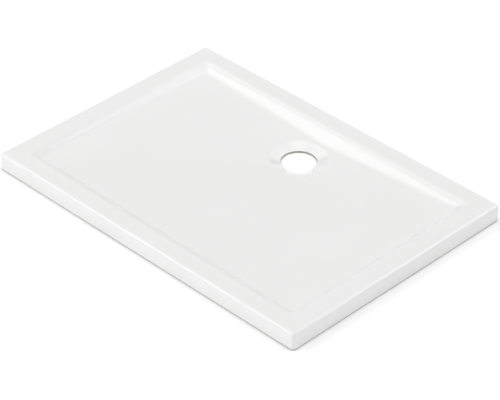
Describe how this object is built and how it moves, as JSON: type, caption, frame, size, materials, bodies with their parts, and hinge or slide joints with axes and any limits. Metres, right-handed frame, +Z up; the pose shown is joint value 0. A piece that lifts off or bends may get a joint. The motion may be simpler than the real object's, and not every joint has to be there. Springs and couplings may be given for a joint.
{
  "type": "shower tray",
  "caption": "Low rectangular shower tray in white acrylic with a raised rim, a floor that falls to a round waste hole near the back, and boards, battens and bearers underneath.",
  "frame": {"origin": "centre of the tray's footprint, on the floor it stands on", "axes": "+X along the long side, +Y across the tray to the side that the waste hole is near, +Z up"},
  "size_m": [1, 0.7, 0.045],
  "materials": {
    "acrylic_sheet": "high-gloss white sanitary acrylic, smooth all over",
    "glass_fibre": "rough translucent glass-fibre laminate, chopped strands showing",
    "rim_batten_wood": "sawn softwood, unfinished",
    "base_board_chipboard": "raw chipboard",
    "board_laminate": "rough glass-fibre laminate, thinner than the backing",
    "collar_resin": "cast filled resin, matt",
    "bearer_wood": "planed softwood, unfinished"
  },
  "bodies": {
    "root": {"acrylic_shell": "acrylic_sheet", "glass_fibre_backing": "glass_fibre", "front_rim_batten": "rim_batten_wood", "back_rim_batten": "rim_batten_wood", "left_rim_batten": "rim_batten_wood", "right_rim_batten": "rim_batten_wood", "front_base_board": "base_board_chipboard", "left_base_board": "base_board_chipboard", "right_base_board": "base_board_chipboard", "front_board_laminate": "board_laminate", "left_board_laminate": "board_laminate", "right_board_laminate": "board_laminate", "drain_collar": "collar_resin", "left_floor_bearer": "bearer_wood", "centre_floor_bearer": "bearer_wood", "right_floor_bearer": "bearer_wood"}
  },
  "joints": []
}
